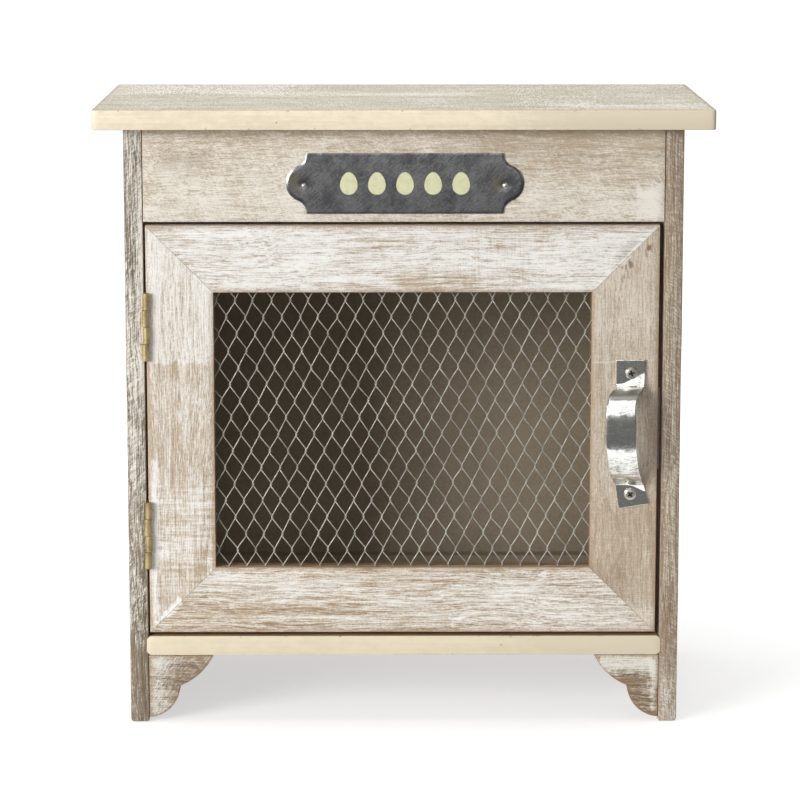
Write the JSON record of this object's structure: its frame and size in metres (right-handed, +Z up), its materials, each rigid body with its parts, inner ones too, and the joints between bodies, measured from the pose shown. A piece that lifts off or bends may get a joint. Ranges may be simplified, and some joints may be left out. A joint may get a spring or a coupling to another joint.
{
  "type": "egg cupboard",
  "caption": "Small table-top cupboard in limed wood with a wire-netting door, strap handle, butt hinges, zinc plate and bracketed feet, for keeping eggs.",
  "frame": {"origin": "on the floor, under the middle of the whole object's box", "axes": "+X to the right seen from the front, +Y from the front to the back, +Z up"},
  "size_m": [0.32, 0.1816, 0.326],
  "materials": {
    "limed_wood": "whitewashed, grain showing through",
    "cream_painted_wood": "worn cream paint on the edges, limed on the faces",
    "hardboard": "plain brown",
    "bare_wood": "unfinished",
    "zinc": "dull, aged",
    "brass": "tarnished",
    "bright_steel": "polished, lightly scratched",
    "galvanised_wire": "dull galvanised",
    "steel": "plain",
    "white_plastic": "moulded",
    "ferrite": "dark sintered"
  },
  "bodies": {
    "cabinet": {"fascia_board": "limed_wood", "left_side_panel": "limed_wood", "right_side_panel": "limed_wood", "left_foot_bracket": "limed_wood", "right_foot_bracket": "limed_wood", "top_board": "cream_painted_wood", "bottom_board": "cream_painted_wood", "back_panel": "hardboard", "rear_cleat": "bare_wood", "top_dowels": "bare_wood", "name_plate": "zinc", "name_plate_nails": "zinc", "upper_hinge_frame_leaf": "brass", "lower_hinge_frame_leaf": "brass", "upper_hinge_pin": "brass", "lower_hinge_pin": "brass", "hinge_frame_screws": "brass", "case_nails": "steel", "back_panel_nails": "steel", "catch_screws": "steel", "catch_pole_plates": "steel", "catch_housing": "white_plastic", "catch_magnet": "ferrite"},
    "door": {"door_top_rail": "limed_wood", "door_bottom_rail": "limed_wood", "door_left_stile": "limed_wood", "door_right_stile": "limed_wood", "mitre_clips": "steel", "wire_netting": "galvanised_wire", "netting_batten_top": "bare_wood", "netting_batten_bottom": "bare_wood", "netting_batten_left": "bare_wood", "netting_batten_right": "bare_wood", "batten_nails": "steel", "upper_hinge_door_leaf": "brass", "lower_hinge_door_leaf": "brass", "hinge_door_screws": "brass", "door_handle": "bright_steel", "handle_screws": "bright_steel", "catch_strike_plate": "steel", "strike_screw": "steel"}
  },
  "joints": [
    {"name": "door_hinge", "type": "hinge", "parent": "cabinet", "child": "door", "pos_m": [-0.1341, -0.0748, 0.157], "axis": [0, 0, -1], "range_deg": [0, 170]}
  ]
}
